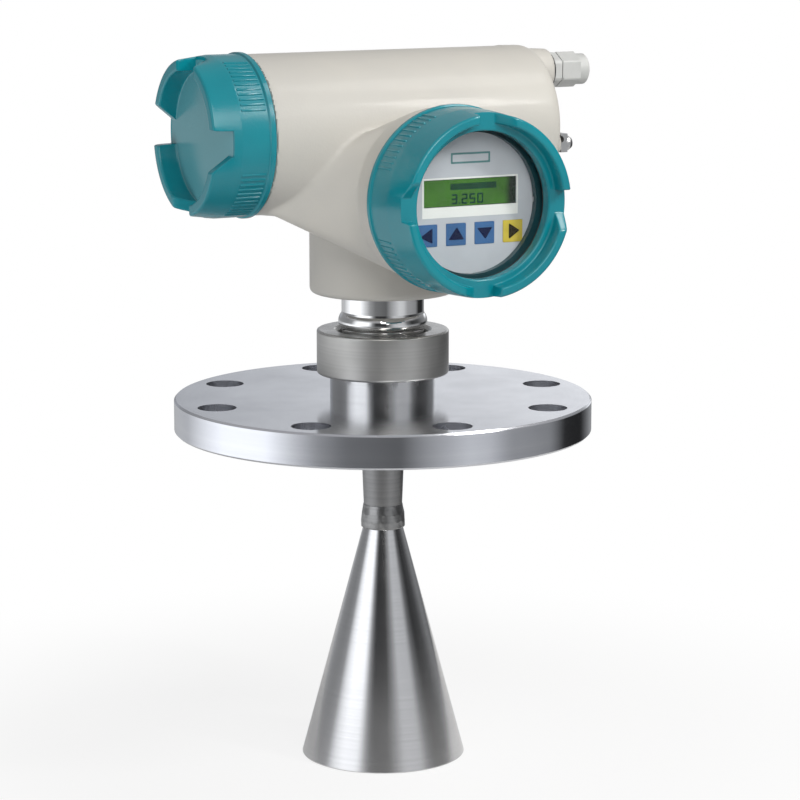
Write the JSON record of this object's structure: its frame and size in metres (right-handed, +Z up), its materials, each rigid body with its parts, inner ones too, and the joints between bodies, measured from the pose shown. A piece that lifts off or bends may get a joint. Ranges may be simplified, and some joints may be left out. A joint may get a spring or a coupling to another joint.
{
  "type": "radar level transmitter",
  "caption": "Flange-mounted radar level transmitter: conical horn antenna below, swivelling two-chamber housing with screw covers, local display and cable gland above.",
  "frame": {"origin": "centre of the flange's lower face, on the antenna axis", "axes": "+Z up out of the vessel along the antenna axis; the display looks along -Y; the terminal cover is at -X and the cable gland at +X"},
  "size_m": [0.2649, 0.2525, 0.4284],
  "materials": {
    "turned_flange": "fine turned and polished stainless steel",
    "sleeve_steel": "polished stainless steel",
    "nut_steel": "satin turned stainless steel",
    "neck_steel": "mirror polished stainless steel",
    "waveguide_steel": "satin turned stainless steel",
    "horn_steel": "polished stainless steel",
    "window_ptfe": "white machined fluoropolymer",
    "seal_rubber": "black elastomer",
    "spring_steel": "phosphated spring steel",
    "module_case": "chromated aluminium",
    "brass": "plain brass",
    "housing_paint": "light warm grey semi-gloss powder coat on cast aluminium",
    "cover_paint": "teal gloss powder coat on cast aluminium",
    "window_glass": "clear flat safety glass",
    "retainer_dark": "dark anodised aluminium",
    "plate_grey": "light grey printed panel",
    "lcd_green": "green liquid-crystal display",
    "key_blue": "blue touch key with a dark arrow",
    "key_yellow": "yellow touch key with a dark arrow",
    "carrier_plastic": "black moulded plastic",
    "board_green": "green circuit board",
    "transformer_dark": "varnished laminations and winding",
    "terminal_plastic": "grey-green moulded terminal block",
    "plated_screw": "nickel-plated steel",
    "black_screw": "blackened steel",
    "earth_brass": "nickel-flashed brass",
    "earth_steel": "stainless steel",
    "gland_plastic": "light grey polyamide"
  },
  "bodies": {
    "process_connection": {"flange": "turned_flange", "mounting_sleeve": "sleeve_steel", "union_nut": "nut_steel", "waveguide_tube": "waveguide_steel", "horn_collar": "waveguide_steel", "antenna_horn": "horn_steel", "process_window": "window_ptfe", "neck_tube": "neck_steel", "neck_o_ring": "seal_rubber", "neck_snap_ring": "spring_steel", "microwave_module": "module_case", "antenna_probe": "brass"},
    "head": {"housing": "housing_paint", "swivel_lock_screw": "spring_steel", "face_plate": "plate_grey", "lcd_module": "lcd_green", "key_left": "key_blue", "key_up": "key_blue", "key_down": "key_blue", "key_right": "key_yellow", "display_carrier": "carrier_plastic", "display_board": "board_green", "board_spacers": "brass", "main_board": "board_green", "power_board": "board_green", "transformer": "transformer_dark", "power_board_screws": "plated_screw", "terminal_block": "terminal_plastic", "terminal_screws": "plated_screw", "terminal_block_screws": "plated_screw", "feedthrough": "brass", "inner_earth_screw": "earth_brass", "outer_earth_clamp": "earth_steel", "outer_earth_screw": "earth_steel", "gland_body": "gland_plastic", "gland_washer": "seal_rubber", "gland_insert": "seal_rubber", "gland_lock_screw": "black_screw"},
    "terminal_seal": {"terminal_cover_seal": "seal_rubber"},
    "terminal_cap": {"terminal_cover": "cover_paint"},
    "display_seal": {"display_cover_seal": "seal_rubber"},
    "display_cap": {"display_cover": "cover_paint", "window_glass": "window_glass", "window_gasket": "seal_rubber", "window_retainer": "retainer_dark"},
    "gland_ring": {"gland_slip_ring": "gland_plastic"},
    "gland_cap": {"gland_nut": "gland_plastic"}
  },
  "joints": [
    {"name": "head_swivel", "type": "hinge", "parent": "process_connection", "child": "head", "pos_m": [0, 0, 0.0955], "axis": [0, 0, 1], "range_deg": [-175, 175]},
    {"name": "terminal_cover_travel", "type": "slide", "parent": "head", "child": "terminal_seal", "axis": [-1, 0, 0], "range_m": [0, 0.012]},
    {"name": "terminal_cover_turn", "type": "hinge", "parent": "terminal_seal", "child": "terminal_cap", "pos_m": [-0.1, 0, 0.18], "axis": [-1, 0, 0], "range_deg": [0, 2160]},
    {"name": "display_cover_travel", "type": "slide", "parent": "head", "child": "display_seal", "axis": [0, -1, 0], "range_m": [0, 0.012]},
    {"name": "display_cover_turn", "type": "hinge", "parent": "display_seal", "child": "display_cap", "pos_m": [0.0037, -0.09, 0.1467], "axis": [0, -1, 0], "range_deg": [0, 2160]},
    {"name": "gland_nut_travel", "type": "slide", "parent": "head", "child": "gland_ring", "axis": [1, 0, 0], "range_m": [0, 0.006]},
    {"name": "gland_nut_turn", "type": "hinge", "parent": "gland_ring", "child": "gland_cap", "pos_m": [0.12, 0, 0.211], "axis": [1, 0, 0], "range_deg": [0, 1440]}
  ],
  "couplings": [
    {"joint": "terminal_cover_travel", "follows": "terminal_cover_turn", "m_per_rad": 0.0003183},
    {"joint": "display_cover_travel", "follows": "display_cover_turn", "m_per_rad": 0.0003183},
    {"joint": "gland_nut_travel", "follows": "gland_nut_turn", "m_per_rad": 0.0002387}
  ]
}
